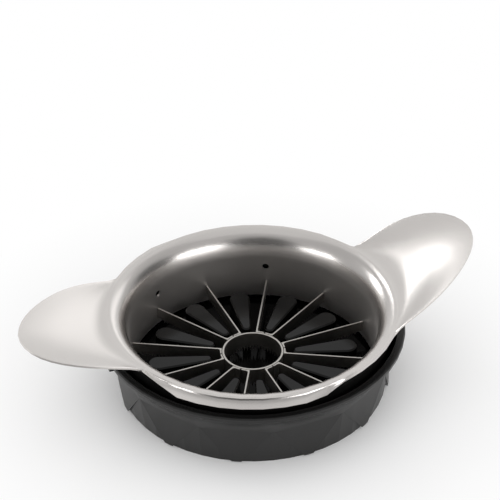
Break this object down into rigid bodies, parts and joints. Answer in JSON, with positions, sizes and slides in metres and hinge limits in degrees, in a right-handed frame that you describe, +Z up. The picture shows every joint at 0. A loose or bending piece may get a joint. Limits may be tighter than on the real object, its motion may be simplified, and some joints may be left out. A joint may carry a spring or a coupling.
{
  "type": "apple slicer wedger press",
  "caption": "Round fruit wedger: steel ring with wing handles, toothed radial blades and core ring over a dark faceted skirt, nested in a round base with pusher pads.",
  "frame": {"origin": "on the floor under the centre of the base, the cutter nested in the base", "axes": "+X along the two wing handles, +Y across them, +Z up, the way the cutter lifts"},
  "size_m": [0.2072, 0.1316, 0.0508],
  "materials": {
    "handle_steel": "satin brushed",
    "blade_steel": "satin",
    "skirt_plastic": "fine matte",
    "base_plastic": "glossy inside, satin outside"
  },
  "bodies": {
    "base": {"base": "base_plastic"},
    "cutter": {"collar": "handle_steel", "core_ring": "blade_steel", "skirt": "skirt_plastic", "blade_1": "blade_steel", "blade_2": "blade_steel", "blade_3": "blade_steel", "blade_4": "blade_steel", "blade_5": "blade_steel", "blade_6": "blade_steel", "blade_7": "blade_steel", "blade_8": "blade_steel", "blade_9": "blade_steel", "blade_10": "blade_steel", "blade_11": "blade_steel", "blade_12": "blade_steel", "skirt_peg_1": "skirt_plastic", "skirt_peg_2": "skirt_plastic", "skirt_peg_3": "skirt_plastic", "skirt_peg_4": "skirt_plastic"}
  },
  "joints": [
    {"name": "cutter_lift", "type": "slide", "parent": "base", "child": "cutter", "axis": [0, 0, 1], "range_m": [0, 0.0589]}
  ]
}
